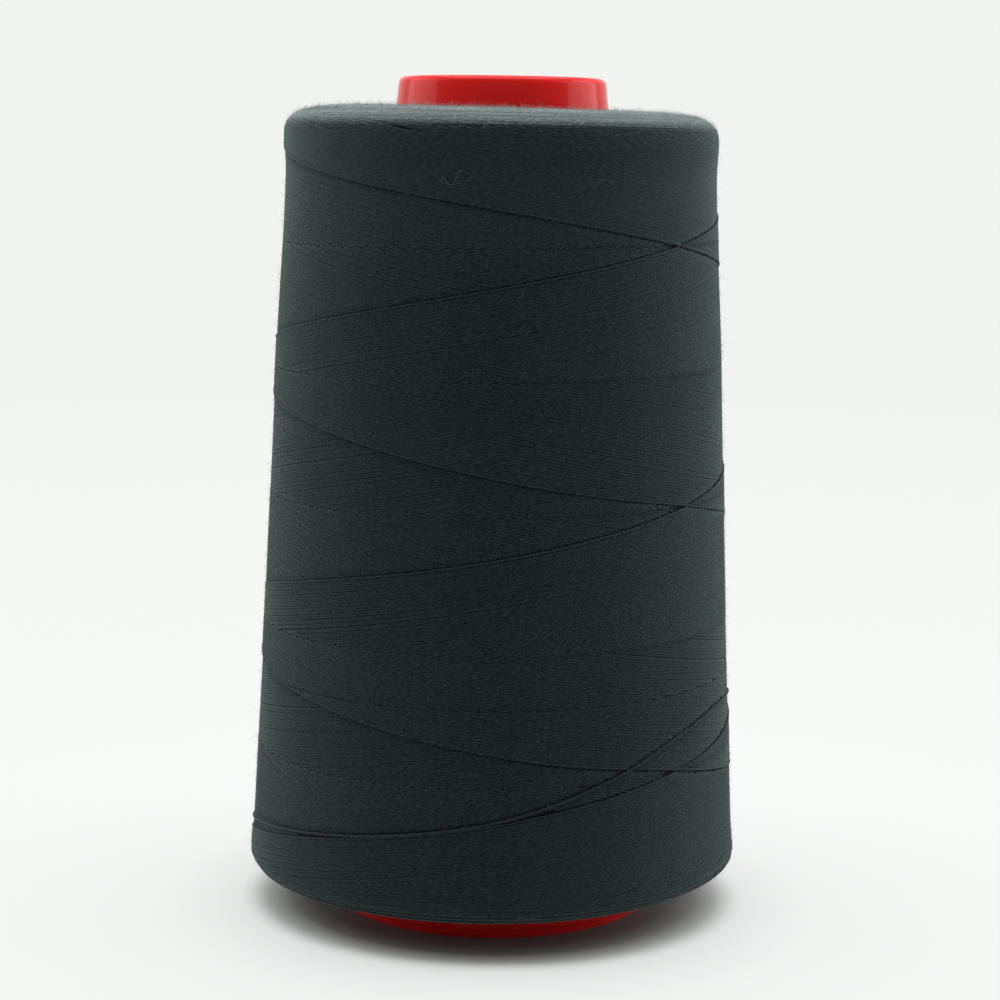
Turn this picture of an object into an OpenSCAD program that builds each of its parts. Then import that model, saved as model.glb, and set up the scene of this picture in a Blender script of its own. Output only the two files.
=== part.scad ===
// A cone-wound spool of sewing thread on a red plastic core.
// Millimetres, +Z up. The origin is the centre of the foot ring, on the surface it stands on.

/* [Overall] */
// Height from the foot ring to the top of the nose
overall_h = 125; // [124:0.5:127]
// Segments in a full turn of the round parts
round_segments = 96; // [48:8:128]

/* [Thread package] */
// Radius of the wound thread at its base
package_base_r = 37.2; // [36:0.1:39]
// Radius of the wound thread at its top
package_top_r = 31.8; // [31:0.1:34]
// Height of the wound thread
package_h = 114.4; // [114:0.1:114.8]
// Rounding of the lower edge, where the thread turns back
base_shoulder_r = 2.3; // [1.5:0.1:3]
// Rounding of the upper edge, where the thread turns back
top_shoulder_r = 3.6; // [2.5:0.1:4]
// Slope of the crowned upper end, from its rounding in to its flat middle
crown_slope = 12; // [6:1:16]
// Radius of that flat middle
crown_r = 26; // [24:0.5:27]
// Thickness of the outermost, newest layer of thread
outer_layer_t = 0.8; // [0.5:0.1:1.5]
// Diameter of the thread
thread_d = 0.28; // [0.2:0.01:0.4]

/* [Core tube] */
// Outer radius of the conical tube at the foot
tube_base_r = 19.5; // [19:0.1:20.5]
// Outer radius of the conical tube at the nose
tube_top_r = 16; // [15.8:0.1:16.2]
// Wall of the tube
tube_wall = 1.4; // [1.2:0.1:1.5]
// Number of shallow grooves that keep the first layer of thread from slipping
groove_count = 9; // [3:1:14]
// Width of a groove
groove_w = 1.6; // [1:0.1:3]
// Depth of a groove
groove_depth = 0.35; // [0.2:0.05:0.5]

/* [Nose cap] */
// Height of the cap above its seat on the tube
nose_h = 5.6; // [5:0.1:6]
// Outer radius just under the rounded rim
nose_rim_r = 15.5; // [15.3:0.05:15.6]
// Radius of the rim's outer rounding
rim_round = 1.1; // [0.8:0.1:1.4]
// Radius of the rim's inner rounding
rim_inner_round = 0.7; // [0.4:0.1:0.8]
// Width of the rim, seen from above
rim_w = 2.2; // [2.2:0.1:2.4]
// Depth of the dish inside the rim
nose_dish = 3.4; // [2:0.1:4]
// Radius of the hole at the nose
nose_hole_r = 11; // [10:0.1:11.2]
// Length of the collar around the nose hole
nose_collar_h = 8.6; // [5:0.1:12]
// Length of the skirt that plugs into the tube
nose_skirt_h = 9.4; // [6:0.1:12]

/* [Foot] */
// Height of the foot flange
foot_h = 5.8; // [5.4:0.1:6]
// Outer radius of the foot ring
foot_r = 23.9; // [23.5:0.1:25]
// Wall of the foot's ring and plate
foot_wall = 1.5; // [1.2:0.1:1.8]
// Step of the bead around the bottom of the ring
foot_bead = 0.3; // [0.2:0.05:0.5]
// Radius of the hole that goes over a stand's spindle
spindle_hole_r = 10.5; // [9:0.1:10.8]
// Length of the sleeve around the spindle hole
sleeve_h = 44.4; // [20:0.2:60]
// Number of webs under the foot plate
web_count = 6; // [3:1:9]
// Thickness of a web
web_t = 1.2; // [0.8:0.1:1.6]
// Length of the spigot that plugs into the tube
spigot_h = 11.4; // [8:0.1:15]

/* [Label] */
// Thickness of the paper ring under the foot
label_t = 0.15; // [0.1:0.01:0.2]
// Width of the paper ring
label_w = 8.6; // [6:0.1:9]

/* [Hidden] */

CORE_RED = "#c01c22";
THREAD_DARK = "#27302f";
THREAD_LIGHT = "#333d3c";
PAPER = "#e9e5da";

arc_steps = 8;       // straight steps in a quarter of rounding
part_gap = 0.05;     // clearance between a plug and the tube it fits
plug_wall = 1.2;     // wall of the skirt and of the spigot

// Levels
seat_z = overall_h - nose_h;            // the nose cap sits on the tube here
package_z0 = foot_h;                    // the thread stands on the foot flange
package_z1 = package_z0 + package_h;
sleeve_z0 = 0.6;                        // the sleeve and webs stay clear of the table
web_z0 = 0.8;
foot_plate_z = foot_h - foot_wall;      // underside of the foot plate

// Outer radius of the tube at height z
function tube_r(z) =
    tube_base_r + (tube_top_r - tube_base_r) * (z - foot_h) / (seat_z - foot_h);

// Points on an arc about [cx, cz], from angle a0 to angle a1
function arc(cx, cz, r, a0, a1) =
    [for (i = [0 : arc_steps])
        let (a = a0 + (a1 - a0) * i / arc_steps)
            [cx + r * cos(a), cz + r * sin(a)]];

// The package's flank is a cone, tangent to a rounding at each end
flank_angle = atan((package_base_r - package_top_r) / package_h);
function flank_r(z) =
    package_base_r - (z - package_z0) * tan(flank_angle);
base_round_z = package_z0 + base_shoulder_r;
// The upper rounding ends where the crown's slope begins
top_round_drop = (top_shoulder_r * cos(crown_slope)
        + (package_top_r - top_shoulder_r / cos(flank_angle)
           + top_shoulder_r * sin(crown_slope) - crown_r) * tan(crown_slope))
    / (1 - tan(flank_angle) * tan(crown_slope));
top_round_z = package_z1 - top_round_drop;
base_round_x = flank_r(base_round_z) - base_shoulder_r / cos(flank_angle);
top_round_x = flank_r(top_round_z) - top_shoulder_r / cos(flank_angle);

// The reserve winding lies in this ring, against the tube
reserve_z0 = foot_h + 0.8;
reserve_z1 = foot_h + 3.2;
reserve_t = 0.9;

module revolve(points) {
    rotate_extrude($fn = round_segments) polygon(points);
}

// ---- Plastic core -------------------------------------------------------

module foot_web() {
    web_x0 = spindle_hole_r + foot_wall / 2;
    web_x1 = foot_r - foot_bead - foot_wall / 2;
    translate([web_x0, -web_t / 2, web_z0])
        cube([web_x1 - web_x0, web_t, foot_plate_z - web_z0 + foot_wall / 2]);
}

// The lower moulding: ring, plate, webs, spigot and spindle sleeve
module base_foot() {
    sleeve_r = spindle_hole_r + foot_wall;
    sleeve_z1 = sleeve_z0 + sleeve_h;
    ring_r = foot_r - foot_bead;
    edge = 0.6;
    spigot_z1 = foot_h + spigot_h;
    spigot_r0 = tube_r(foot_h) - tube_wall - part_gap;
    spigot_r1 = tube_r(spigot_z1) - tube_wall - part_gap;
    profile = concat(
        [[spindle_hole_r, sleeve_z0],
         [sleeve_r, sleeve_z0],
         [sleeve_r, foot_plate_z],
         [foot_r - foot_wall, foot_plate_z],
         [foot_r - foot_wall, 0],
         [foot_r, 0],
         [foot_r, web_z0],
         [ring_r, web_z0 + foot_bead]],
        arc(ring_r - edge, foot_h - edge, edge, 0, 90),
        [[spigot_r0, foot_h],
         [spigot_r1, spigot_z1],
         [spigot_r1 - plug_wall, spigot_z1],
         [spigot_r1 - plug_wall, foot_h],
         [sleeve_r, foot_h],
         [sleeve_r, sleeve_z1],
         [spindle_hole_r, sleeve_z1]]);
    color(CORE_RED) union() {
        revolve(profile);
        for (i = [0 : web_count - 1])
            rotate([0, 0, (i + 0.5) * 360 / web_count]) foot_web();
    }
}

// Corner points of one shallow groove that starts at height z
function groove(z) =
    [[tube_r(z), z],
     [tube_r(z) - groove_depth, z + groove_depth],
     [tube_r(z + groove_w) - groove_depth, z + groove_w - groove_depth],
     [tube_r(z + groove_w), z + groove_w]];

// The conical tube that the thread is wound on
module core_tube() {
    pitch = (seat_z - foot_h) / (groove_count + 1);
    grooves = [for (i = [1 : groove_count])
                   each groove(foot_h + i * pitch)];
    color(CORE_RED)
        revolve(concat(
            [[tube_base_r - tube_wall, foot_h],
             [tube_base_r, foot_h]],
            grooves,
            [[tube_top_r, seat_z],
             [tube_top_r - tube_wall, seat_z]]));
}

// The upper moulding: polished rim, dished plate with the nose hole, and plug skirt
module nose_cap() {
    rim_in_r = nose_rim_r - rim_w;
    dish_z = overall_h - nose_dish;
    plate_z = dish_z - foot_wall;
    collar_r = nose_hole_r + plug_wall;
    collar_z = dish_z - nose_collar_h;
    skirt_r = tube_top_r - tube_wall - 2 * part_gap;
    skirt_z = seat_z - nose_skirt_h;
    color(CORE_RED)
        revolve(concat(
            [[nose_hole_r, collar_z],
             [collar_r, collar_z],
             [collar_r, plate_z],
             [skirt_r - plug_wall, plate_z],
             [skirt_r - plug_wall, skirt_z],
             [skirt_r, skirt_z],
             [skirt_r, seat_z],
             [tube_top_r, seat_z]],
            arc(nose_rim_r - rim_round, overall_h - rim_round, rim_round, 0, 90),
            arc(rim_in_r + rim_inner_round, overall_h - rim_inner_round,
                rim_inner_round, 90, 180),
            [[rim_in_r, dish_z],
             [nose_hole_r, dish_z]]));
}

// Blank paper ring stuck across the webs
module foot_label() {
    label_r0 = spindle_hole_r + foot_wall + 0.6;
    color(PAPER)
        revolve([[label_r0, web_z0 - label_t],
                 [label_r0 + label_w, web_z0 - label_t],
                 [label_r0 + label_w, web_z0],
                 [label_r0, web_z0]]);
}

// ---- Thread -------------------------------------------------------------

// The first turns, laid side by side at the foot before the winding proper
module reserve_winding() {
    color(THREAD_LIGHT)
        revolve([[tube_r(reserve_z0), reserve_z0],
                 [tube_r(reserve_z0) + reserve_t, reserve_z0],
                 [tube_r(reserve_z0) + reserve_t, reserve_z1],
                 [tube_r(reserve_z1), reserve_z1]]);
}

// The whole wound body, down to the tube and around the reserve winding
module wound_body() {
    revolve(concat(
        [[tube_base_r, package_z0]],
        arc(base_round_x, base_round_z, base_shoulder_r, -90, flank_angle),
        arc(top_round_x, top_round_z, top_shoulder_r, flank_angle, 90 - crown_slope),
        [[crown_r, package_z1],
         [tube_top_r, package_z1],
         [tube_top_r, seat_z],
         [tube_r(reserve_z1), reserve_z1],
         [tube_r(reserve_z0) + reserve_t, reserve_z1],
         [tube_r(reserve_z0) + reserve_t, reserve_z0],
         [tube_r(reserve_z0), reserve_z0]]));
}

// The cone under the outermost layer
module layer_cone() {
    margin = 1;
    translate([0, 0, package_z0 - margin])
        cylinder(h = package_h + 2 * margin,
                 r1 = flank_r(package_z0 - margin) - outer_layer_t,
                 r2 = flank_r(package_z1 + margin) - outer_layer_t,
                 $fn = round_segments);
}

module thread_package() {
    color(THREAD_DARK) intersection() {
        wound_body();
        layer_cone();
    }
}

module outer_layer() {
    color(THREAD_LIGHT) difference() {
        wound_body();
        layer_cone();
    }
}

// The last wrap lies proud of the winding: [angle from the front, height].
// It leaves the lower turn-back, climbs round the front and right side,
// falls across the back and is drawn under the lower edge.
wrap_route = [
    [-125, 8.6], [-105, 10.6], [-85, 12.4], [-68, 14.1], [-46, 15.9], [-23, 18],
    [0, 20.7], [17, 23.8], [34, 27.5], [45, 30.1], [58, 32.2], [71, 33.2],
    [88, 32.8], [105, 30.4], [125, 26], [145, 20.8], [165, 15.4], [182, 10.8],
    [192, 8.4], [199, 6.8]];
wrap_rings = 78;
wrap_sides = 8;
wrap_lift = 0.06;    // keeps the straight steps between rings clear of the flank
wrap_off = thread_d / 2 + wrap_lift;

// Radius of a point held off the package's surface by the distance off
function proud_r(z, off) =
    z < base_round_z
        ? base_round_x + sqrt(pow(base_shoulder_r + off, 2) - pow(z - base_round_z, 2))
        : flank_r(z) + off / cos(flank_angle);

// Smooth curve through the route: k counts its points, with a fraction
function route_at(k) =
    let (i = min(floor(k), len(wrap_route) - 2),
         t = k - i,
         p0 = wrap_route[max(i - 1, 0)],
         p1 = wrap_route[i],
         p2 = wrap_route[i + 1],
         p3 = wrap_route[min(i + 2, len(wrap_route) - 1)])
        p1 + t / 2 * (p2 - p0)
           + t * t / 2 * (2 * p0 - 5 * p1 + 4 * p2 - p3)
           + t * t * t / 2 * (3 * p1 - p0 - 3 * p2 + p3);

// A route point in space; angle 0 is the front, -Y, and it grows towards +X
function on_package(p) =
    let (r = proud_r(p[1], wrap_off))
        [r * sin(p[0]), -r * cos(p[0]), p[1]];

function unit(v) = v / norm(v);

function sweep_ring(centre, along, outward) =
    let (side = unit(cross(along, outward)),
         up = unit(cross(side, along)))
        [for (j = [0 : wrap_sides - 1])
            let (a = 360 * j / wrap_sides)
                centre + thread_d / 2 * (cos(a) * up + sin(a) * side)];

module last_wrap() {
    last = len(wrap_route) - 1;
    centres = [for (i = [0 : wrap_rings - 1])
                   on_package(route_at(last * i / (wrap_rings - 1)))];
    points = [for (i = [0 : wrap_rings - 1])
                 let (a = centres[max(i - 1, 0)],
                      b = centres[min(i + 1, wrap_rings - 1)],
                      c = centres[i])
                     each sweep_ring(c, unit(b - a), [c[0], c[1], 0])];
    walls = [for (i = [0 : wrap_rings - 2], j = [0 : wrap_sides - 1])
                let (n = (j + 1) % wrap_sides, a = i * wrap_sides)
                    [a + j, a + wrap_sides + j, a + wrap_sides + n, a + n]];
    first_end = [for (j = [0 : wrap_sides - 1]) j];
    second_end = [for (j = [wrap_sides - 1 : -1 : 0])
                     (wrap_rings - 1) * wrap_sides + j];
    color(THREAD_LIGHT)
        polyhedron(points, concat([first_end], walls, [second_end]));
}

base_foot();
core_tube();
nose_cap();
foot_label();
reserve_winding();
thread_package();
outer_layer();
last_wrap();
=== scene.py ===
"""A cone-wound spool of dark sewing thread on a red plastic core.

The winding is real geometry: the newest strokes of the cross-wound thread are laid in
order on a grid of the package's surface, and the stretches that no later stroke covers
become tubes. Lengths are millimetres inside the winding code and metres in Blender.
"""

import math
import bpy
import numpy as np
from mathutils import Euler, Matrix, Vector


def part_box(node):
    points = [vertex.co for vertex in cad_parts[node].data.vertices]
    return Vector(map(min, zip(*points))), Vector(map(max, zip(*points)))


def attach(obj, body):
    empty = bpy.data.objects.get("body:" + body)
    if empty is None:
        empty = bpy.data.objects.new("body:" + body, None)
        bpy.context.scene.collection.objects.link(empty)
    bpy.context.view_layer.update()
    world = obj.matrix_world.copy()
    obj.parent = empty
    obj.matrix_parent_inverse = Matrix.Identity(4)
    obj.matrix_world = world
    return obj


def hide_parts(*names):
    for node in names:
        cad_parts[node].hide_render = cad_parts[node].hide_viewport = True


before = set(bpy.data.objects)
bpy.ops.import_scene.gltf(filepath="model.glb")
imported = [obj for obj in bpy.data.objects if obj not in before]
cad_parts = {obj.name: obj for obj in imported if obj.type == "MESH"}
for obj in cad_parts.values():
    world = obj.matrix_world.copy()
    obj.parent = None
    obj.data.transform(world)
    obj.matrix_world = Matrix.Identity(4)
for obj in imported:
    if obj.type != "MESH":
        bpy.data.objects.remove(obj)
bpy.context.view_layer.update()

MM = 0.001
rng = np.random.default_rng(71)

# ---- Sizes read from the frame ------------------------------------------


def node_box(name):
    low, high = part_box(name)
    return np.array(low) / MM, np.array(high) / MM


def widest(name, low_z, high_z):
    """Radius and height of a node's widest vertex between two heights, in millimetres."""
    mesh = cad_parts[name].data
    co = np.empty(len(mesh.vertices) * 3)
    mesh.vertices.foreach_get("co", co)
    co = co.reshape(-1, 3) / MM
    co = co[(co[:, 2] >= low_z) & (co[:, 2] <= high_z)]
    radius = np.hypot(co[:, 0], co[:, 1])
    k = radius.argmax()
    return radius[k], co[k, 2]


PACKAGE_LOW = node_box("thread_package")[0][2]
PACKAGE_HIGH = node_box("thread_package")[1][2]
BASE_SHOULDER = 2.3       # rounding of the package's lower edge, as in the frame
TOP_SHOULDER = 3.6        # and of its upper edge
CROWN_SLOPE = math.radians(12)    # slope of the crowned upper end at its rounding
CROWN_R = 26.0            # radius of its flat middle
TUBE_R_LOW = node_box("core_tube")[1][0]
NOSE_R = widest("nose_cap", PACKAGE_HIGH - 1, PACKAGE_HIGH + 1)[0]
FOOT_R = node_box("base_foot")[1][0]

base_r, base_z = widest("outer_layer", PACKAGE_LOW, PACKAGE_LOW + 2 * BASE_SHOULDER)
top_r, top_z = widest("outer_layer", PACKAGE_HIGH - 1.3 * TOP_SHOULDER, PACKAGE_HIGH)
FLANK_SLOPE = (base_r - top_r) / (top_z - base_z)
FLANK_ANGLE = math.atan(FLANK_SLOPE)

# ---- Sizes of the winding -----------------------------------------------

THREAD_D = 0.28           # height of the thread as it lies, a little flattened
THREAD_W = 0.34           # its width
CYCLES = 113              # up-and-down cycles until the pattern covers the package
TURNS_UP = 3              # turns of the package in one stroke
TURN_LOW = PACKAGE_LOW + 0.8      # where the straight strokes would meet, at the foot
TURN_HIGH = PACKAGE_HIGH - 0.28   # and at the nose
LEAD = (TURN_HIGH - TURN_LOW) / (TURNS_UP - 0.5 / CYCLES)   # rise in one turn
SPACING = LEAD / CYCLES
NECK = 98.0               # above this the threads are pressed flatter and wider,
NECK_RUN = 14.0           # and fully so this much higher
NECK_FLATTER, NECK_WIDER = 0.55, 0.40     # by these shares of their height and spacing
OVERLAP = 1.03            # width of a thread as a multiple of the spacing,
WIDTH_RANGE = (0.30, 0.55)        # and its least and greatest
TURNBACK = 15.0           # half the angle over which a stroke turns back, in degrees
NEWEST_UP_AT_FRONT = 0.785        # height of the newest rising thread at the front,
                                  # as a share of the way from TURN_LOW to TURN_HIGH
WIND_TILT = 0.43          # the traverse is this far out of square at the sides
BASE_TILT = 0.40          # the lower end of the package is out of square too
TOP_TILT = -0.28          # and so is the upper end, the other way
LAYER_STEP = 0.12         # how far a new layer stands above the one beside it
END_RUN = 6.0             # length at each end over which the crossing layers merge
NEWEST_PROUD = 0.07       # the newest thread isn't pressed down yet
ROW_JITTER = 0.012        # spread of the strokes about their even spacing
SLIP_CHANCE, SLIP = 0.04, 0.06    # how often a stroke has slipped aside, and how far
SWAY = 0.010              # spread of a stroke's slow swaying
EARLY_TURN = 0.22         # spread of the places where the strokes turn back


def end_tilt(v):
    """How far the package is out of square at a height."""
    share = np.clip((v - base_z) / (top_z - base_z), 0, 1)
    return BASE_TILT + (TOP_TILT - BASE_TILT) * share


# Where the flank swells or is slim: [how much, height, half of its extent]
SWELLS = [(0.36, 115.8, 3.0), (0.24, 118.0, 1.4), (-0.10, 103.5, 7.0), (0.10, 84.0, 9.0),
          (-0.08, 38.0, 12.0), (0.14, 9.0, 2.2)]


class Outline:
    """The package's outline: v runs along it, and equals z on the conical flank."""

    def __init__(self):
        a = FLANK_ANGLE
        low, high = BASE_SHOULDER, TOP_SHOULDER
        self.low_v, self.high_v = base_z, top_z
        self.low_c = (base_r - low * math.cos(a), base_z - low * math.sin(a))
        self.high_c = (top_r - high * math.cos(a), top_z - high * math.sin(a))
        self.low_end = base_z - low * (math.pi / 2 + a)
        self.high_turn = math.pi / 2 - a - CROWN_SLOPE
        self.high_end = top_z + high * self.high_turn
        self.crown_edge = self.high_c[0] + high * math.sin(CROWN_SLOPE)
        self.crown_run = 2 * (self.crown_edge - CROWN_R)

    def swell(self, v):
        """The flank isn't quite straight: the ends are a little full, the neck slim."""
        return sum(much * np.exp(-((v - at) / extent) ** 2) for much, at, extent in SWELLS)

    def place(self, v, off):
        """Radius, height and the outline's normal at v, held off the surface by off."""
        a = FLANK_ANGLE
        v = np.asarray(v, float)
        off = off + self.swell(v)
        low = np.clip((self.low_v - v) / BASE_SHOULDER, 0, math.pi / 2 + a)
        high = np.clip((v - self.high_v) / TOP_SHOULDER, 0, self.high_turn)
        turn = a - low + high
        c = np.where(v < self.low_v, BASE_SHOULDER, np.where(v > self.high_v, TOP_SHOULDER, 0))
        flank = np.clip(v, self.low_v, self.high_v)
        flank_r = base_r - (flank - base_z) * FLANK_SLOPE
        over = np.maximum(v - self.high_end, 0)
        past = np.maximum(self.low_end - v, 0) + over
        share = np.clip(over / self.crown_run, 0, 1)
        rise = math.tan(CROWN_SLOPE) * self.crown_run * share * (1 - share / 2)
        phi = turn + CROWN_SLOPE * share
        r = flank_r - c * math.cos(a) + c * np.cos(turn) + off * np.cos(phi) - past
        z = flank - c * math.sin(a) + c * np.sin(turn) + off * np.sin(phi) + rise
        return r, z, np.cos(phi), np.sin(phi)

    def points(self, angle, v, off):
        """Points and surface normals for angles in degrees, 0 at the front."""
        r, z, nr, nz = self.place(v, off)
        t = np.radians(angle)
        s, c = np.sin(t), -np.cos(t)
        z = z + end_tilt(v) * s
        return (np.stack([r * s, r * c, z], -1),
                np.stack([nr * s, nr * c, nz + 0 * s], -1))


OUTLINE = Outline()

# ---- The path of the thread ---------------------------------------------

CYCLE = 360.0 * (2 * TURNS_UP - 1 / CYCLES)     # degrees of one up-and-down cycle
PITCH = LEAD / 360.0                            # rise for one degree

# How far the traverse runs ahead of its true helix: [turns since the foot, rise].
# It's the same in every cycle. Up to the third turn the thread rises, then it falls.
WANDER = [
    (0, 0), (0.22, 0.4), (0.45, 0.35), (0.8, 0.1), (1.17, 0.3), (1.35, 0), (1.6, 0.2),
    (2.3, -0.1), (2.5, -0.25), (3, 0), (3.15, -0.55), (3.35, -0.1), (3.6, 0.1),
    (3.95, 0.5), (4.15, 1.2), (4.22, 1.5), (4.36, 0.6), (4.43, 0.42), (4.55, 0.7),
    (4.9, 0), (5.15, -0.6), (5.22, -0.05), (5.39, -0.4), (5.46, -0.1), (5.57, -0.45),
    (5.8, 0), (6, 0)]


def smooth_route(route, count):
    """Points along a Catmull-Rom curve through a list of points."""
    p = np.array([route[0], *route, route[-1]], float)
    k = np.linspace(0, len(route) - 1 - 1e-9, count)
    i = k.astype(int)
    t = (k - i)[:, None]
    a, b, c, d = p[i], p[i + 1], p[i + 2], p[i + 3]
    return b + t / 2 * (c - a) + t**2 / 2 * (2 * a - 5 * b + 4 * c - d) \
        + t**3 / 2 * (3 * b - a - 3 * c + d)


WANDER_CURVE = smooth_route(WANDER, 600)


def wander(turned):
    """Slow wandering of the traverse about its true helix."""
    return np.interp(turned / 360, WANDER_CURVE[:, 0], WANDER_CURVE[:, 1])


def traverse(turned):
    """Height on the outline after a number of degrees: a wave with rounded turns."""
    u = np.mod(turned / CYCLE, 1.0)
    v = TURN_LOW + (TURN_HIGH - TURN_LOW) * (1 - np.abs(2 * u - 1))
    to_high = np.abs(u - 0.5) * CYCLE
    to_low = np.minimum(u, 1 - u) * CYCLE
    cut_high = np.maximum(TURNBACK - to_high, 0) ** 2 / (2 * TURNBACK)
    cut_low = np.maximum(TURNBACK - to_low, 0) ** 2 / (2 * TURNBACK)
    edge = np.clip(np.minimum(to_high, to_low) / 90, 0, 1)
    return v + PITCH * (cut_low - cut_high) + edge * wander(u * CYCLE)


# The newest rising stroke crosses the front at a known height. It began at TURN_LOW.
rise_at_front = NEWEST_UP_AT_FRONT * (TURN_HIGH - TURN_LOW)
UP_START = -rise_at_front / PITCH      # angle at which the newest rising stroke began

CELL_DEG = 0.25           # size of the grid's cells round the package, in degrees,
CELL_V = 0.04             # and along its outline
COLUMNS = int(360 / CELL_DEG)
GRID_LOW = TURN_LOW - 3   # the grid's first row


class Stroke:
    """One sweep along the package; newest has cycle 0."""

    def __init__(self, cycle, up):
        self.cycle, self.up = cycle, up
        begin = 0.0 if up else CYCLE / 2
        self.turned = np.arange(math.ceil(begin / CELL_DEG),
                                math.floor((begin + CYCLE / 2) / CELL_DEG)) * CELL_DEG
        # older cycles began one CYCLE earlier each, on the same running angle
        self.angle = UP_START - cycle * CYCLE + self.turned
        true_v = traverse(self.turned)
        self.v = self.straying(true_v)
        pressed = np.clip((self.v - NECK) / NECK_RUN, 0, 1)
        step = np.abs(np.gradient(true_v, CELL_DEG))
        self.width = np.clip((OVERLAP + NECK_WIDER * pressed) * step * 360 / CYCLES,
                             *WIDTH_RANGE)
        self.radius = THREAD_D / 2 * (1 - NECK_FLATTER * pressed)
        self.v = self.v + (WIND_TILT - end_tilt(self.v)) * np.sin(np.radians(self.angle))

    def straying(self, true_v):
        """The stroke's own path: a little aside, swaying, and short of its turns."""
        slipped = rng.normal(0, ROW_JITTER) + (rng.random() < SLIP_CHANCE) \
            * rng.uniform(-SLIP, SLIP)
        rate = rng.uniform(0.004, 0.02, 3)
        phase = rng.uniform(0, 6.28, 3)
        size = rng.normal(0, SWAY, 3)
        sway = sum(a * np.sin(q * self.turned + f) for a, q, f in zip(size, rate, phase))
        high, low = np.abs(rng.normal(0, EARLY_TURN, 2))
        to_end = np.clip((true_v - TURN_LOW) / (TURN_HIGH - TURN_LOW), 0, 1)
        return true_v + slipped + sway - (high * to_end ** 60 - low * (1 - to_end) ** 60)


WRAP_GAP = 0.48           # reach of the gap above the last wrap's centre
WRAP_OWNER = 10**6        # marks the grid cells that the last wrap clears

# Width of the open gap beside the newest threads where each of the six turns passes the
# front: at the left, in the middle and at the right
PASS_GAPS = [(0.20, 0.28, 0.24), (0.08, 0.17, 0.26), (0.10, 0.13, 0.20),
             (0.10, 0.12, 0.18), (0.10, 0.28, 0.10), (0.16, 0.20, 0.22)]
SIDE_GAP, BACK_GAP = 0.04, 0.15
GAP_PLACES = [-0.5, -0.25, -0.17, 0, 0.17, 0.25, 0.5]     # in turns from the front
SIDE_ANGLE, SIDE_FADE = 88, 25    # where the wrap's gap nearly closes, and over what angle


def edge_gap(stroke):
    """Width of the open gap beside the newest thread of each direction."""
    turns = stroke.angle / 360
    from_front = turns - np.round(turns)
    passed = np.clip(np.round(stroke.turned / 360 - 0.35), 0, 5)
    gap = np.zeros(len(turns))
    for k, (left, middle, right) in enumerate(PASS_GAPS):
        here = passed == k
        gap[here] = np.interp(from_front[here], GAP_PLACES,
                              [BACK_GAP, SIDE_GAP, left, middle, right, SIDE_GAP, BACK_GAP])
    return gap


def lay(strokes):
    """Lays the strokes in order on a grid, and returns each cell's last stroke."""
    rows = int((TURN_HIGH - TURN_LOW + 6) / CELL_V)
    top = np.full((COLUMNS, rows), -1, np.int32)
    half = int(round(SPACING / 2 / CELL_V))
    for n, s in enumerate(strokes):
        s.col = np.mod(np.round(s.angle / CELL_DEG).astype(int), COLUMNS)
        s.row = np.round((s.v - GRID_LOW) / CELL_V).astype(int)
        for d in range(-half, half + 1):
            top[s.col, s.row + d] = n
        if s.cycle == 0:
            side = 1 if s.up else -1
            reach = np.round(edge_gap(s) / CELL_V).astype(int)
            for d in range(1, reach.max() + 1):
                open_here = reach >= d
                top[s.col[open_here], s.row[open_here] + side * (half + d)] = n
    clear_beside_wrap(top)
    return top


def clear_beside_wrap(top):
    """The last wrap lies loose, and leaves an open gap along its upper side."""
    route = smooth_route(WRAP_ROUTE, 2400)
    col = np.mod(np.round(route[:, 0] / CELL_DEG).astype(int), COLUMNS)
    row = np.round((level_v(route) - GRID_LOW) / CELL_V).astype(int)
    from_side = np.abs(np.abs(route[:, 0]) - SIDE_ANGLE)
    open_share = np.clip(from_side / SIDE_FADE, 0.1, 1)
    reach = np.round(WRAP_GAP * open_share / CELL_V).astype(int)
    for d in range(-1, reach.max() + 1):
        open_here = reach >= d
        top[col[open_here], row[open_here] + d] = WRAP_OWNER


def runs(flags, join, least):
    """Start and end of each run of True, after joining short gaps and dropping crumbs."""
    edge = np.flatnonzero(np.diff(np.concatenate([[0], flags.astype(np.int8), [0]])))
    spans = [list(p) for p in edge.reshape(-1, 2)]
    joined = []
    for a, b in spans:
        if joined and a - joined[-1][1] <= join:
            joined[-1][1] = b
        else:
            joined.append([a, b])
    return [(a, b) for a, b in joined if b - a >= least]


# ---- Tubes --------------------------------------------------------------

# Angles of a tube's corners from its top; the five-sided one is flat underneath
SECTION = {3: [0, 120, 240], 5: [0, 56, 122, 238, 304],
           8: [0, 45, 90, 135, 180, 225, 270, 315]}
# Faces that close a tube's end, by corners; one that repeats its last is a triangle
END_FACES = {3: [[0, 1, 2, 2]],
             5: [[0, 1, 2, 3], [0, 3, 4, 4]],
             8: [[0, 1, 2, 3], [0, 3, 4, 5], [0, 5, 6, 7]]}


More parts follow.
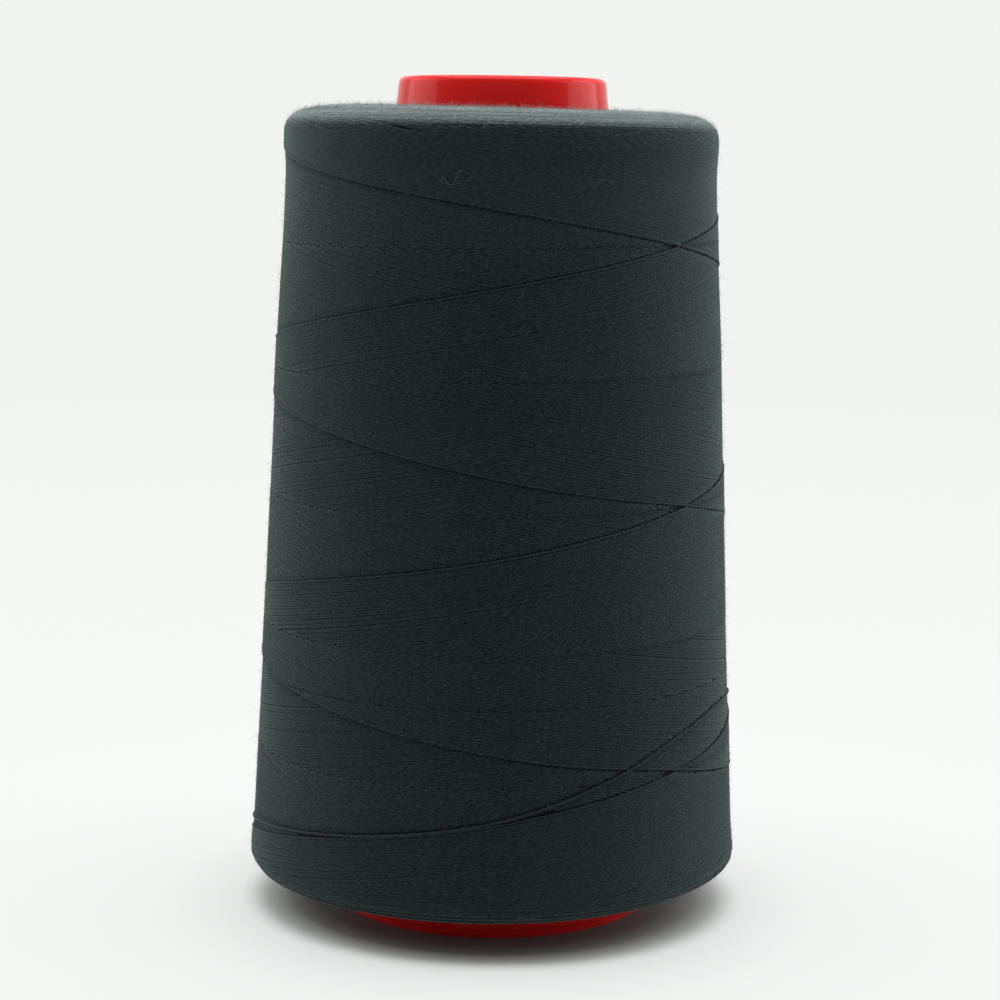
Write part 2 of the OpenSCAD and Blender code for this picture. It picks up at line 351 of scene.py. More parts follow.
class Tubes:
    """Gathers many thin tubes into one mesh, with u along each tube and v around it."""

    def __init__(self, sides):
        self.sides = sides
        self.points, self.faces, self.uvs = [], [], []
        self.count = 0

    def add(self, centres, normals, radius, width=1.0):
        """A tube of a radius along the normals, and width times that across them."""
        n, k = len(centres), self.sides
        along = np.gradient(centres, axis=0)
        along /= np.linalg.norm(along, axis=1, keepdims=True)
        side = np.cross(along, normals)
        side /= np.linalg.norm(side, axis=1, keepdims=True)
        up = np.cross(side, along)
        a = np.radians(SECTION[k])
        radius = np.broadcast_to(radius, n)[:, None, None]
        width = np.broadcast_to(width, n)[:, None, None]
        ring = (np.cos(a)[None, :, None] * up[:, None, :]
                + width * np.sin(a)[None, :, None] * side[:, None, :])
        self.points.append((centres[:, None, :] + radius * ring).reshape(-1, 3))
        i = np.arange(n - 1)[:, None] * k
        j = np.arange(k)[None, :]
        nxt = (j + 1) % k
        quads = np.stack([i + j, i + nxt, i + k + nxt, i + k + j], -1)
        self.faces.append(quads.reshape(-1, 4) + self.count)
        step = np.linalg.norm(np.diff(centres, axis=0), axis=1)
        u = np.concatenate([[0], np.cumsum(step)]) + rng.uniform(0, 50)
        lo = np.broadcast_to(u[:-1, None], (n - 1, k))
        hi = np.broadcast_to(u[1:, None], (n - 1, k))
        v0 = np.broadcast_to(j / k, (n - 1, k))
        v1 = np.broadcast_to((j + 1) / k, (n - 1, k))
        uv = np.stack([np.stack([lo, v0], -1), np.stack([lo, v1], -1),
                       np.stack([hi, v1], -1), np.stack([hi, v0], -1)], 2)
        self.uvs.append(uv.reshape(-1, 2))
        for start, flip in ((0, True), ((n - 1) * k, False)):
            self.cap(self.count + start, flip)
        self.count += n * k

    def cap(self, first, flip):
        """Closes the end whose first point has this number."""
        for corners in END_FACES[self.sides]:
            face = [first + c for c in corners]
            self.faces.append(np.array([face[::-1] if flip else face]))
            self.uvs.append(np.zeros((4, 2)))

    def piece(self, name):
        """The gathered tubes as one Blender object."""
        points = np.concatenate(self.points) * MM
        faces = np.concatenate(self.faces)
        uvs = np.concatenate(self.uvs)
        return mesh_piece(name, points, faces, uvs)


def mesh_piece(name, points, faces, uvs=None):
    """An object from points and quads; a quad that repeats its last corner is a triangle."""
    tri = faces[:, 2] == faces[:, 3]
    size = np.where(tri, 3, 4)
    keep = np.ones(faces.shape, bool)
    keep[tri, 3] = False
    mesh = bpy.data.meshes.new(name)
    mesh.vertices.add(len(points))
    mesh.vertices.foreach_set("co", points.astype(np.float32).ravel())
    mesh.loops.add(int(size.sum()))
    mesh.loops.foreach_set("vertex_index", faces[keep].astype(np.int32))
    mesh.polygons.add(len(faces))
    starts = np.concatenate([[0], np.cumsum(size)[:-1]])
    mesh.polygons.foreach_set("loop_start", starts.astype(np.int32))
    mesh.polygons.foreach_set("use_smooth", np.ones(len(faces), bool))
    if uvs is not None:
        layer = mesh.uv_layers.new(name="strand")
        layer.data.foreach_set("uv", uvs[keep.ravel()].astype(np.float32).ravel())
    mesh.update()
    mesh.validate()
    obj = bpy.data.objects.new(name, mesh)
    bpy.context.scene.collection.objects.link(obj)
    return obj


# ---- The wound thread ---------------------------------------------------


def other_age(stroke, v):
    """Age of the crossing strokes at each place, from 0, newest, to 1, oldest."""
    run = stroke.angle - UP_START
    if stroke.up:
        newest_down = TURN_HIGH - PITCH * (run - CYCLE / 2)
        return np.mod(v - newest_down, LEAD) / LEAD
    newest_up = TURN_LOW + PITCH * run
    return np.mod(newest_up - v, LEAD) / LEAD


def layer_height(stroke):
    """A newer layer stands above an older one, in steps at the newest strokes."""
    own = stroke.cycle / CYCLES
    v = traverse(stroke.turned)
    other = other_age(stroke, v)
    low, high = TURN_LOW + PITCH * TURNBACK / 2, TURN_HIGH - PITCH * TURNBACK / 2
    w = np.clip(np.minimum(v - low, high - v) / END_RUN, 0, 1)
    newest = NEWEST_PROUD * (stroke.cycle == 0)
    return newest + LAYER_STEP * ((1 - own) + w * (1 - other) + (1 - w) * (1 - own) - 1)


DIVE = 9                  # samples by which a hidden end runs on under its neighbours
DIVE_DEPTH = 1.25         # how deep it goes, in thread heights
END_RINGS = (-DIVE, -4, -1, 3)    # samples from a visible run's start to its first rings
STEP = 18                 # samples between the rings of a tube


def ring_places(a, b, count):
    """Sample numbers for the rings of a visible run, closer together at its ends."""
    ends = [a + k for k in END_RINGS] + [b - k for k in END_RINGS]
    inner = np.linspace(a + 3, b - 3, max(2, round((b - a - 6) / STEP) + 1))
    places = np.unique(np.concatenate([ends, np.round(inner)]).astype(int))
    return places[(places >= 0) & (places < count)]


def dive_depth(places, a, b):
    """How far a tube sinks where it runs under the threads that cross it."""
    outside = np.maximum(a - places, places - b)
    t = np.clip((outside + 3) / 8, 0, 1)
    return THREAD_D * DIVE_DEPTH * t * t * (3 - 2 * t)


def winding_pieces():
    """The visible stretches of the newest strokes, rising and falling."""
    strokes = [Stroke(c, up) for c in range(CYCLES, -1, -1) for up in (True, False)]
    top = lay(strokes)
    tubes = {True: Tubes(5), False: Tubes(5)}
    for n, s in enumerate(strokes):
        seen = top[s.col, s.row] == n
        height = layer_height(s)
        for a, b in runs(seen, join=4, least=10):
            at = ring_places(a, b, len(seen))
            if len(at) < 3:
                continue
            radius = s.radius[at]
            off = height[at] - radius - dive_depth(at, a, b)
            centre, normal = OUTLINE.points(s.angle[at], s.v[at], off)
            tubes[s.up].add(centre, normal, radius, s.width[at] / 2 / radius)
    return [tubes[True].piece("strands_rising"), tubes[False].piece("strands_falling")]


# ---- The ends of the package --------------------------------------------

ROW = 0.31                # spacing of the turned-back rows on the ends
ARC_LENGTH = 62.0         # length of one turned-back arc
ARC_OVERLAP = 5.0         # by which neighbouring arcs run side by side
ARC_SEGMENT = 2.4         # length of one segment of an arc's tube
ARC_SINK = 2.2            # length over which an arc sinks away at each end
CROSSINGS = 40            # arcs that stray across the rows, at each end


def arc_strand(tubes, angle, v, sweep, bow, lift):
    """One turned-back arc, from an angle, bowed along the outline, sinking at both ends."""
    radius = float(OUTLINE.place(v, 0.0)[0])
    n = max(6, round(math.radians(sweep) * radius / ARC_SEGMENT))
    t = np.linspace(0, 1, n)
    t = np.concatenate([[0, 0.35 * t[1]], t[1:-1], [1 - 0.35 * t[1], 1]])
    path_v = v + bow * (1 - (2 * t - 1) ** 2) - bow * 2 / 3
    from_end = np.minimum(t, 1 - t) * math.radians(sweep) * radius
    sink = np.clip(1 - from_end / ARC_SINK, 0, 1) ** 1.5 * THREAD_D
    centre, normal = OUTLINE.points(angle + t * sweep, path_v, lift - THREAD_D / 2 - sink)
    tubes.add(centre, normal, THREAD_D / 2, THREAD_W / THREAD_D)


def end_rows(tubes, first_v, last_v):
    """Rows of overlapping arcs from the shoulder in towards the core."""
    count = round(abs(last_v - first_v) / ROW)
    for i in range(count + 1):
        v = first_v + (last_v - first_v) * i / count
        radius = float(OUTLINE.place(v, 0.0)[0])
        around = 2 * math.pi * radius
        arcs = max(3, round(around / ARC_LENGTH * rng.uniform(0.8, 1.2)))
        start = rng.uniform(0, 360)
        over = math.degrees(ARC_OVERLAP / radius)
        for k in range(arcs):
            arc_strand(tubes, start + k * 360 / arcs, v + rng.normal(0, 0.03),
                       360 / arcs + over, rng.normal(0, 0.12), rng.normal(0.04, 0.045))


def end_crossings(tubes, first_v, last_v):
    """Arcs that stray across the rows before they turn back."""
    for _ in range(CROSSINGS):
        v = first_v + rng.random() * (last_v - first_v)
        radius = float(OUTLINE.place(v, 0.0)[0])
        sweep = math.degrees(rng.uniform(14, 34) / radius)
        arc_strand(tubes, rng.uniform(0, 360), v, sweep, rng.normal(0, 0.8),
                   THREAD_D * 0.3)


def face_v(radius, high):
    """Where the outline crosses an end face at a radius."""
    if high:
        return OUTLINE.high_end + OUTLINE.crown_edge - radius
    return OUTLINE.low_end - OUTLINE.low_c[0] + radius


def end_pieces():
    """The turned-back rows on both ends, from just past the last crossing threads in."""
    half_turn = PITCH * TURNBACK / 2
    made = []
    for name, high, first, core in (
            ("turned_back_top", True, TURN_HIGH - half_turn - 1.6, NOSE_R + 0.1),
            ("turned_back_foot", False, TURN_LOW + half_turn + 1.4, FOOT_R - 2.0)):
        tubes = Tubes(5)
        last = face_v(core, high)
        end_rows(tubes, first, last)
        end_crossings(tubes, first, last)
        made.append(tubes.piece(name))
    return made


BED_DEPTH = 0.42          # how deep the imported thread's own surface lies


def bed_piece():
    """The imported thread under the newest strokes: a closed turned body."""
    v = np.concatenate([np.linspace(face_v(TUBE_R_LOW + 0.2, False), OUTLINE.low_end, 6),
                        np.linspace(OUTLINE.low_end, OUTLINE.low_v, 10)[1:],
                        np.linspace(OUTLINE.low_v, OUTLINE.high_v, 60)[1:],
                        np.linspace(OUTLINE.high_v, OUTLINE.high_end, 10)[1:],
                        np.linspace(OUTLINE.high_end, face_v(NOSE_R, True), 6)[1:]])
    around = 192
    angle = np.arange(around) * 360 / around
    grid_a, grid_v = np.meshgrid(angle, v, indexing="ij")
    points, _ = OUTLINE.points(grid_a, grid_v, -BED_DEPTH)
    rows = len(v)
    i = np.arange(around)[:, None]
    j = np.arange(rows)[None, :]
    nxt, up = (i + 1) % around, (j + 1) % rows
    faces = np.stack([i * rows + j, nxt * rows + j, nxt * rows + up, i * rows + up], -1)
    return mesh_piece("thread_bed", points.reshape(-1, 3) * MM, faces.reshape(-1, 4))


# ---- The last wrap ------------------------------------------------------

# The same route as the frame's last_wrap: [angle from the front, height]
WRAP_ROUTE = [
    (-125, 8.6), (-105, 10.6), (-85, 12.4), (-68, 14.1), (-46, 15.9), (-23, 18),
    (0, 20.7), (17, 23.8), (34, 27.5), (45, 30.1), (58, 32.2), (71, 33.2),
    (88, 32.8), (105, 30.4), (125, 26), (145, 20.8), (165, 15.4), (182, 10.8),
    (192, 8.4), (199, 6.8)]


def level_v(route):
    """The route's heights as places on the outline, which is out of square."""
    return route[:, 1] - end_tilt(route[:, 1]) * np.sin(np.radians(route[:, 0]))


WRAP_SINK = 0.3           # depth to which the wrap's ends sink into the winding
UNDER_WRAP, UNDER_R = 0.29, 0.18      # depth and radius of the older thread it lies on


def wrap_piece():
    """The loose last wrap, and the older thread that fills the gap beneath it."""
    route = smooth_route(WRAP_ROUTE, 330)
    t = np.linspace(0, 1, len(route))
    lift = LAYER_STEP - 0.05 - WRAP_SINK * np.clip(1 - t / 0.04, 0, 1)
    lift = lift - WRAP_SINK * np.clip((t - 0.985) / 0.015, 0, 1)
    tubes = Tubes(8)
    for raised, radius in ((lift, THREAD_D / 2), (lift - UNDER_WRAP, UNDER_R)):
        centre, normal = OUTLINE.points(route[:, 0], level_v(route), raised)
        tubes.add(centre, normal, radius)
    return tubes.piece("raised_last_wrap")


# ---- Loose fibres -------------------------------------------------------

NAP_ROOT = 0.06           # height at which the fibres leave the threads
STRAYS = 1500             # longer loose fibres
STRAY_RADII = [0.010, 0.009, 0.005]       # at their root, middle and tip


def fibre_ends(angle, v, length, lift, curl):
    """Start, middle and end of fibres that stand out of the winding and lean over."""
    start, normal = OUTLINE.points(angle, v, lift)
    count = len(angle)
    drift = rng.normal(0, 1, (count, 3))
    drift -= normal * (drift * normal).sum(1, keepdims=True)
    drift /= np.linalg.norm(drift, axis=1, keepdims=True) + 1e-9
    lean = rng.uniform(0.15, 0.9, (count, 1))
    bend = rng.normal(0, curl, (count, 3)) - normal * rng.uniform(0, curl, (count, 1))
    length = length[:, None]
    middle = start + length * (0.5 * (drift + normal * lean) + 0.25 * bend)
    end = start + length * (drift + normal * lean + bend)
    return start, middle, end, normal


def nap(name, count, v_low, v_high, length, radius, crowd=1.0):
    """A nap of short straight fibres, crowded towards v_high if crowd is below 1."""
    tubes = Tubes(3)
    angle = rng.uniform(0, 360, count)
    v = v_low + (v_high - v_low) * rng.random(count) ** crowd
    size = rng.lognormal(math.log(length), 0.4, count)
    start, _, end, normal = fibre_ends(angle, v, size, NAP_ROOT, 0.25)
    for a, b, n in zip(start, end, normal):
        tubes.add(np.array([a, b]), np.array([n, n]), np.array([radius, radius * 0.5]))
    return tubes.piece(name)


def stray_fibres():
    """Longer loose fibres that curl away from the winding."""
    tubes = Tubes(3)
    angle = rng.uniform(0, 360, STRAYS)
    v = rng.uniform(TURN_LOW, TURN_HIGH + 2, STRAYS)
    size = rng.lognormal(-0.25, 0.35, STRAYS)
    start, middle, end, normal = fibre_ends(angle, v, size, 0.05, 0.6)
    for a, b, c, n in zip(start, middle, end, normal):
        tubes.add(np.array([a, b, c]), np.array([n, n, n]), np.array(STRAY_RADII))
    return tubes.piece("stray_fibres")


# Bits of lint on the front: angle and height of each, and its bends about that point
LINT = [((-11.9, 110.6), [(-1.8, -0.8), (-1.2, 0), (-0.8, -0.7), (0, -1), (0.5, -0.3),
                          (0.8, 0.6), (1.4, 1.0)]),
        ((26.2, 110.4), [(-1.3, -0.3), (-0.5, 0.1), (0.2, 0.3), (0.9, 0.1), (1.3, -0.2)])]
LINT_POINTS, LINT_R = 16, 0.022   # points along each, and its radius


def lint_piece():
    """Two curled fibres that cling to the upper part of the front."""
    tubes = Tubes(3)
    for (angle, v), bends in LINT:
        route = smooth_route(bends, LINT_POINTS)
        radius = float(OUTLINE.place(v, 0.0)[0])
        lift = 0.16 + 0.1 * np.sin(np.linspace(0, 3, LINT_POINTS))
        centre, normal = OUTLINE.points(angle + np.degrees(route[:, 0] / radius),
                                        v + route[:, 1], lift)
        tubes.add(centre, normal, LINT_R)
    return tubes.piece("clinging_lint")


def fibre_pieces():
    """Fluff all over the winding, thickest on the ends where the thread turns back."""
    high = face_v(NOSE_R + 0.3, True)
    low = face_v(FOOT_R, False)
    shoulder = OUTLINE.high_v + 1.6
    return [nap("nap_on_flank", 15000, TURN_LOW + 1, shoulder, 0.42, 0.011),
            nap("nap_on_shoulder", 16000, shoulder, OUTLINE.high_end + 2, 0.45, 0.010, 0.7),
            nap("nap_on_top", 10000, OUTLINE.high_end + 2, high, 0.50, 0.012),
            nap("nap_on_foot", 3000, low, TURN_LOW + 1, 0.45, 0.012),
            stray_fibres(), lint_piece()]


# ---- Materials ----------------------------------------------------------

PLY_TURN = 1.7            # twist of the plies: bands in two millimetres of thread
SLUBS = 1.1               # fineness of the spun thread's uneven tone, per millimetre
SLUB_SHARE = 0.86         # its share of the tone; the rest is the nap's
MOTTLE = 2600.0           # fineness of the nap's mottled tone, per metre
PAINTED_TOP_LIGHT = (0.215, 0.250, 0.250)     # painted light: a paler colour where the thread turns back at the nose, standing in for its down lit from above
PAINTED_LIGHT_FROM, PAINTED_LIGHT_FULL = 0.1182, 0.1205     # heights at which it begins, and covers all
PAINTED_LIGHT_UNEVEN = 0.0012      # how far the line between strays, for a tone from 0 to 1


class Nodes:
    """A short way to build a node material."""

    def __init__(self, name):
        self.material = bpy.data.materials.new(name)
        self.material.use_nodes = True
        self.tree = self.material.node_tree
        self.tree.nodes.clear()
        self.out = self.add("ShaderNodeOutputMaterial")
        self.shader = self.add("ShaderNodeBsdfPrincipled")
        self.link(self.shader, "BSDF", self.out, "Surface")

    def add(self, kind, **values):
        node = self.tree.nodes.new(kind)
        for key, value in values.items():
            if hasattr(node, key):
                setattr(node, key, value)
            else:
                node.inputs[key.replace("_", " ")].default_value = value
        return node

    def link(self, a, out, b, into):
        self.tree.links.new(a.outputs[out], b.inputs[into])

    def noise(self, where, scale, detail, roughness=0.5):
        """Noise in the object's own space."""
        node = self.add("ShaderNodeTexNoise", Scale=scale, Detail=detail, Roughness=roughness)
        self.link(where, "Object", node, "Vector")
        return node

    def multiply(self, a, a_out, b, b_out):
        """One colour times another, at output 2."""
        node = self.add("ShaderNodeMix", data_type="RGBA", blend_type="MULTIPLY")
        node.inputs[0].default_value = 1.0
        self.link(a, a_out, node, 6)
        self.link(b, b_out, node, 7)
        return node

    def even(self, values):
        """Sets the shader's values that are the same all over."""
        for socket, value in values.items():
            self.shader.inputs[socket].default_value = value

    def ramp(self, source, out, stops):
        node = self.add("ShaderNodeValToRGB")
        self.link(source, out, node, "Fac")
        elements = node.color_ramp.elements
        while len(elements) < len(stops):
            elements.new(0.5)
        for e, (position, colour) in zip(elements, stops):
            e.position = position
            e.color = (*colour, 1) if len(colour) == 3 else (colour[0],) * 3 + (1,)
        return node

    def bump(self, source, out, distance, strength, after=None):
        node = self.add("ShaderNodeBump", Distance=distance, Strength=strength)
        self.link(source, out, node, "Height")
        if after is not None:
            self.link(after, "Normal", node, "Normal")
        return node


def strand_map(m, strand, scale):
    """A strand's own coordinates, along it and around it, at a scale."""
    mapping = m.add("ShaderNodeMapping")
    mapping.inputs["Scale"].default_value = scale
    m.link(strand, "UV", mapping, "Vector")
    return mapping


def with_slubs(m, strand, tone):
    """The nap's mottled tone, mixed with the slubs drawn out along a strand."""
    slubs = m.add("ShaderNodeTexNoise", Scale=1.0, Detail=4.0, Roughness=0.75)
    m.link(strand_map(m, strand, (SLUBS, 1.3, 1.0)), "Vector", slubs, "Vector")
    mixed = m.add("ShaderNodeMix", data_type="FLOAT")
    mixed.inputs[0].default_value = SLUB_SHARE
    m.link(tone, "Fac", mixed, 2)
    m.link(slubs, "Fac", mixed, 3)
    return mixed


def painted_light_at_nose(m, where, tone, colour):
    """The colour, paler above an uneven line near the nose: painted light, standing in for the
    down there lit from above.
    """
    height = m.add("ShaderNodeSeparateXYZ")
    m.link(where, "Object", height, "Vector")
    uneven = m.add("ShaderNodeMath", operation="MULTIPLY_ADD")
    uneven.inputs[1].default_value = PAINTED_LIGHT_UNEVEN
    m.link(tone, "Fac", uneven, 0)
    m.link(height, "Z", uneven, 2)
    share = m.add("ShaderNodeMapRange", interpolation_type="SMOOTHSTEP",
                  From_Min=PAINTED_LIGHT_FROM, From_Max=PAINTED_LIGHT_FULL)
    m.link(uneven, 0, share, "Value")
    lit_at_nose = m.add("ShaderNodeMix", data_type="RGBA")
    lit_at_nose.inputs[7].default_value = (*PAINTED_TOP_LIGHT, 1)
    m.link(share, "Result", lit_at_nose, 0)
    m.link(colour, "Color", lit_at_nose, 6)
    return lit_at_nose


def plied(m, strand, colour, bump):
    """Slanting bands of the twisted plies: in the relief, and as darker bands in the colour,
    which are painted shade of the grooves between the plies.
    """
    ply = m.add("ShaderNodeTexWave", Scale=0.31416, Distortion=1.2, Detail=2.0,
                Detail_Scale=1.6)
    ply.bands_direction = "DIAGONAL"
    m.link(strand_map(m, strand, (PLY_TURN, 4.0, 1.0)), "Vector", ply, "Vector")
    # painted shade in the grooves between the plies
    shade = m.ramp(ply, "Fac", [(0.10, (0.78,)), (0.75, (1.0,))])
    return m.multiply(colour, 2, shade, "Color"), m.bump(ply, "Fac", 0.00005, 0.35, bump)


def thread_material(name, dark, light, plies=True, sheen=0.2):
    """Spun polyester: two twisted plies of dark staple fibre with a mottled nap."""
    m = Nodes(name)
    where = m.add("ShaderNodeTexCoord")
    tone = m.noise(where, MOTTLE, 4.0, 0.75)
    strand = m.add("ShaderNodeUVMap", uv_map="strand") if plies else None
    mottled = with_slubs(m, strand, tone) if plies else tone
    colour = m.ramp(mottled, 0, [(0.345, dark), (0.675, light)])
    # paler above a line near the nose: painted light of the top lit from above
    colour = painted_light_at_nose(m, where, tone, colour)
    bump = m.bump(m.noise(where, 5200.0, 2.0), "Fac", 0.00008, 0.5)
    if plies:
        colour, bump = plied(m, strand, colour, bump)
    m.link(colour, 2, m.shader, "Base Color")
    m.link(bump, "Normal", m.shader, "Normal")
    m.even({"Roughness": 0.7, "Specular IOR Level": 0.12, "Sheen Weight": sheen,
            "Sheen Roughness": 0.35, "Sheen Tint": (0.70, 0.95, 0.88, 1)})
    return m.material


def plastic_material():
    """Glossy injection-moulded red plastic with a faint orange peel and scuffs."""
    m = Nodes("core_red_plastic")
    where = m.add("ShaderNodeTexCoord")
    cloud = m.noise(where, 90.0, 3.0)
    colour = m.ramp(cloud, "Fac", [(0.3, (0.59, 0.012, 0.012)), (0.7, (0.65, 0.016, 0.014))])
    m.link(colour, "Color", m.shader, "Base Color")
    scuff = m.noise(where, 700.0, 4.0, 0.7)
    rough = m.ramp(scuff, "Fac", [(0.35, (0.09,)), (0.8, (0.16,))])
    m.link(rough, "Color", m.shader, "Roughness")
    bump = m.bump(m.noise(where, 420.0, 2.0), "Fac", 0.00006, 0.12)
    m.link(bump, "Normal", m.shader, "Normal")
    m.even({"IOR": 1.45, "Specular IOR Level": 0.15, "Subsurface Weight": 0.4,
            "Subsurface Radius": (0.004, 0.0006, 0.0005), "Subsurface Scale": 0.6})
    return m.material


def paper_material():
    """Uncoated label paper with a soft fibre grain."""
    m = Nodes("label_paper")
    where = m.add("ShaderNodeTexCoord")
    pulp = m.noise(where, 1500.0, 5.0, 0.7)
    colour = m.ramp(pulp, "Fac", [(0.3, (0.70, 0.67, 0.58)), (0.75, (0.80, 0.78, 0.71))])
    m.link(colour, "Color", m.shader, "Base Color")
    m.link(m.bump(pulp, "Fac", 0.00004, 0.4), "Normal", m.shader, "Normal")
    m.even({"Roughness": 0.85})
    return m.material


def dress(obj, material):
    obj.data.materials.clear()
    obj.data.materials.append(material)


# ---- Floor, light and camera --------------------------------------------

FLOOR_SIZE, FLOOR_CELLS = 14.0, 24
NEAR_GLOW = (0.920, 0.938, 0.920)     # the sweep around the spool
BACKGROUND = (0.878, 0.897, 0.872)    # and behind it
# Painted shadow: the floor's colour darkened under the spool: [distance from the axis,
# brightness]
PAINTED_FLOOR_SHADOW = [(0.028, (0.30,)), (0.037, (1.0,))]
# How much of its light is its own even glow, none under the spool and rising past its edge, a
# painted shadow there: [distance from the axis, share]
GLOW_SHARE = [(0.0342, (0.0,)), (0.0380, (0.46,)), (0.05, (0.67,)), (0.13, (0.90,)),
              (0.5, (1.0,))]
FRONT_GLOOM = 0.29        # brightness of the unlit side that the camera stands on
GLOOM_EDGE = (-0.75, 0.05)        # directions, by their Y, between which it darkens


def floor_material():
    """A white sweep that glows by itself, evenly further out; under the spool its colour is
    darkened and its glow taken away, a painted shadow.
    """
    m = Nodes("white_floor")
    where = m.add("ShaderNodeTexCoord")
    grain = m.noise(where, 60.0, 2.0)
    colour = m.ramp(grain, "Fac", [(0.2, (0.60, 0.62, 0.61)), (0.8, (0.615, 0.635, 0.625))])
    distance = m.add("ShaderNodeVectorMath", operation="LENGTH")
    m.link(where, "Object", distance, "Vector")
    # painted shadow under the spool, in the floor's colour
    under = m.ramp(distance, "Value", PAINTED_FLOOR_SHADOW)
    m.link(m.multiply(colour, "Color", under, "Color"), 2, m.shader, "Base Color")
    m.even({"Roughness": 0.6})
    glow = m.add("ShaderNodeEmission", Strength=1.0)
    m.link(m.ramp(distance, "Value", [(0.3, NEAR_GLOW), (0.85, BACKGROUND)]), "Color",
           glow, "Color")
    # the glow fades out towards the spool: painted shadow
    mix = m.add("ShaderNodeMixShader")
    m.link(m.ramp(distance, "Value", GLOW_SHARE), "Color", mix, "Fac")
    m.link(m.shader, "BSDF", mix, 1)
    m.link(glow, "Emission", mix, 2)
    m.link(mix, "Shader", m.out, "Surface")
    return m.material


def make_world():
    """A pale surround, dim towards the front where the tent is open."""
    world = bpy.data.worlds.new("studio")
    bpy.context.scene.world = world
    world.use_nodes = True
    tree = world.node_tree
    tree.nodes.clear()
    out = tree.nodes.new("ShaderNodeOutputWorld")
    back = tree.nodes.new("ShaderNodeBackground")
    where = tree.nodes.new("ShaderNodeTexCoord")
    split = tree.nodes.new("ShaderNodeSeparateXYZ")
    shade = tree.nodes.new("ShaderNodeMapRange")
    shade.interpolation_type = "SMOOTHSTEP"
    shade.inputs["From Min"].default_value, shade.inputs["From Max"].default_value = GLOOM_EDGE
    shade.inputs["To Min"].default_value = FRONT_GLOOM
    shade.inputs["To Max"].default_value = 1.0
    tree.links.new(where.outputs["Generated"], split.inputs[0])
    tree.links.new(split.outputs["Y"], shade.inputs["Value"])
    tree.links.new(shade.outputs["Result"], back.inputs["Strength"])
    back.inputs["Color"].default_value = (*BACKGROUND, 1)
    tree.links.new(back.outputs["Background"], out.inputs["Surface"])


AIM = (0, 0, 0.06)        # the middle of the spool


def soft_light(name, place, size, power):
    """A square panel that faces the spool."""
    data = bpy.data.lights.new(name, "AREA")
    data.shape = "SQUARE"
    data.size = size
    data.energy = power
    light = bpy.data.objects.new(name, data)
    bpy.context.scene.collection.objects.link(light)
    light.location = place
    direction = Vector(AIM) - Vector(place)
    light.rotation_euler = direction.to_track_quat("-Z", "Y").to_euler()


def make_lights():
    soft_light("overhead", (0.0, 0.05, 0.75), 0.7, 5.0)
    soft_light("left_wall", (-0.55, 0.10, 0.25), 0.5, 1.5)
    soft_light("right_wall", (0.55, 0.10, 0.25), 0.5, 1.9)


def make_floor():
    half = FLOOR_SIZE / 2
    cells = FLOOR_CELLS
    line = np.linspace(-half, half, cells + 1)
    x, y = np.meshgrid(line, line, indexing="ij")
    points = np.stack([x.ravel(), y.ravel(), np.zeros(x.size)], -1)
    i = np.arange(cells)[:, None] * (cells + 1)
    j = np.arange(cells)[None, :]
    faces = np.stack([i + j, i + cells + 1 + j, i + cells + 2 + j, i + 1 + j], -1)
    floor = mesh_piece("floor", points, faces.reshape(-1, 4))
    dress(floor, floor_material())


CAMERA_BACK = 0.3747      # distance from the spool's axis
CAMERA_UP = 0.1160
CAMERA_SIDE = 0.00049
CAMERA_PITCH = 8.285      # degrees below the horizon
CAMERA_ROLL = 0.821
CAMERA_LENS = 89.32       # on a 36 mm sensor


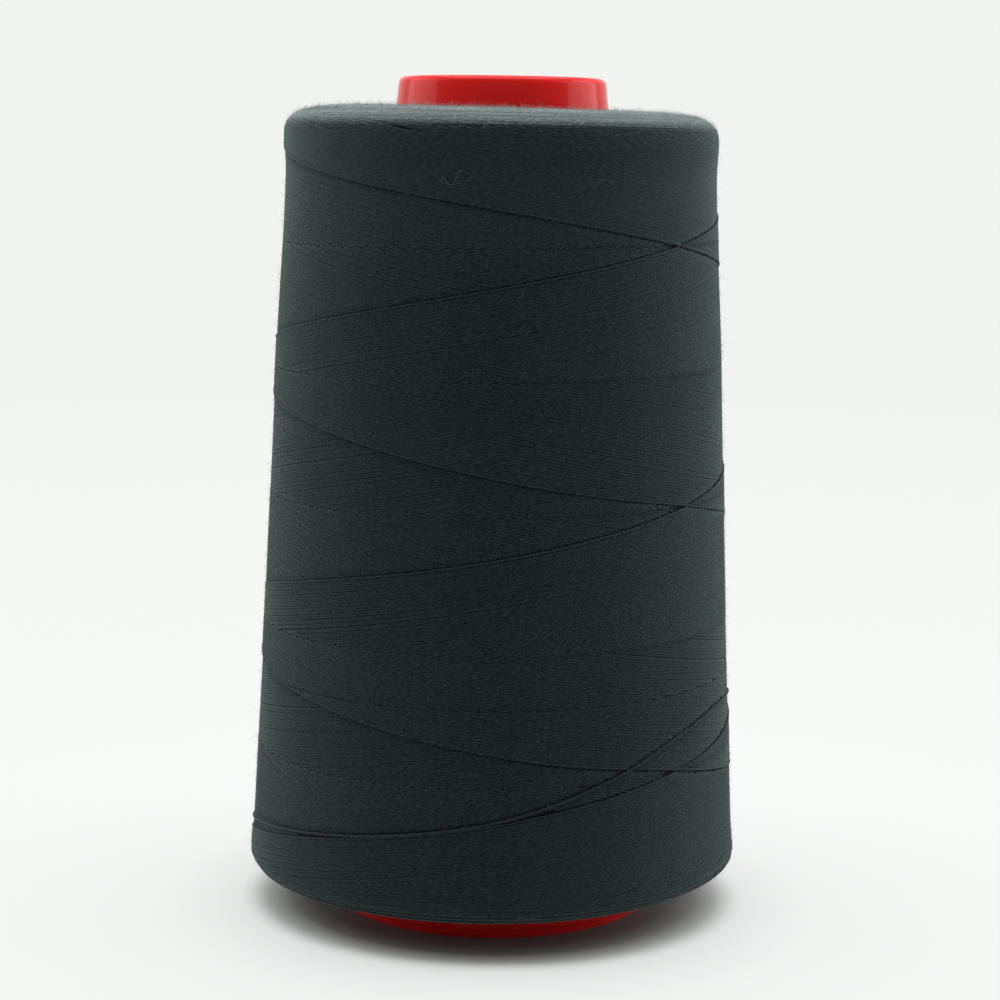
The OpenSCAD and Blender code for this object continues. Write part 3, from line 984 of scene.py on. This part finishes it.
def make_camera():
    data = bpy.data.cameras.new("camera")
    data.sensor_width = 36
    data.lens = CAMERA_LENS
    data.clip_start, data.clip_end = 0.02, 50
    camera = bpy.data.objects.new("camera", data)
    bpy.context.scene.collection.objects.link(camera)
    tilt = Euler((math.radians(90 - CAMERA_PITCH), 0, 0)).to_matrix()
    turned = tilt @ Matrix.Rotation(math.radians(CAMERA_ROLL), 3, "Z")
    camera.matrix_world = Matrix.Translation((CAMERA_SIDE, -CAMERA_BACK, CAMERA_UP)) \
        @ turned.to_4x4()
    bpy.context.scene.camera = camera


# ---- The scene ----------------------------------------------------------


def make_materials():
    """The materials of the winding and its fluff."""
    return {
        "thread": thread_material("dark_thread", (0.0018, 0.0050, 0.0054),
                                  (0.024, 0.041, 0.040), sheen=0.25),
        # the same thread as elsewhere, a little paler on the top end: painted light from above
        "turned": thread_material("top_thread_painted_paler", (0.003, 0.007, 0.007),
                                  (0.028, 0.045, 0.043), sheen=0.35),
        "packed": thread_material("packed_thread", (0.004, 0.006, 0.006),
                                  (0.008, 0.012, 0.012), plies=False),
        "fluff": thread_material("loose_fibre", (0.02, 0.035, 0.034),
                                 (0.09, 0.12, 0.115), plies=False),
        # the fluff on the shoulder and top is real; its pale colour is painted light from the
        # lamp above
        "pale": thread_material("painted_lit_fluff", (0.28, 0.31, 0.305),
                                (0.52, 0.56, 0.55), plies=False),
        "lint": thread_material("lint", (0.10, 0.12, 0.115),
                                (0.22, 0.25, 0.24), plies=False)}


def dress_cad(packed):
    """Gives the frame's own nodes their materials."""
    red = plastic_material()
    for name in ("base_foot", "core_tube", "nose_cap"):
        dress(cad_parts[name], red)
    dress(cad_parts["foot_label"], paper_material())
    for name in ("reserve_winding", "thread_package", "outer_layer", "last_wrap"):
        dress(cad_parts[name], packed)


def main():
    make_camera()
    bpy.context.scene.view_settings.view_transform = "Standard"
    make_world()
    make_lights()
    make_floor()
    coat = make_materials()
    dress_cad(coat["packed"])

    strands = winding_pieces()
    ends = end_pieces()
    bed = bed_piece()
    wrap = wrap_piece()
    fibres = fibre_pieces()
    # the naps on the shoulder and top take the pale fluff, whose colour is painted light
    coats = ("packed", "thread", "fluff", "pale", "pale", "fluff", "fluff", "lint",
             "thread", "thread", "turned", "thread")
    for piece, name in zip([bed, wrap, *fibres, *strands, *ends], coats, strict=True):
        dress(piece, coat[name])
        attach(piece, "root")
    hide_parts("thread_package")
    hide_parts("outer_layer")
    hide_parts("last_wrap")


main()
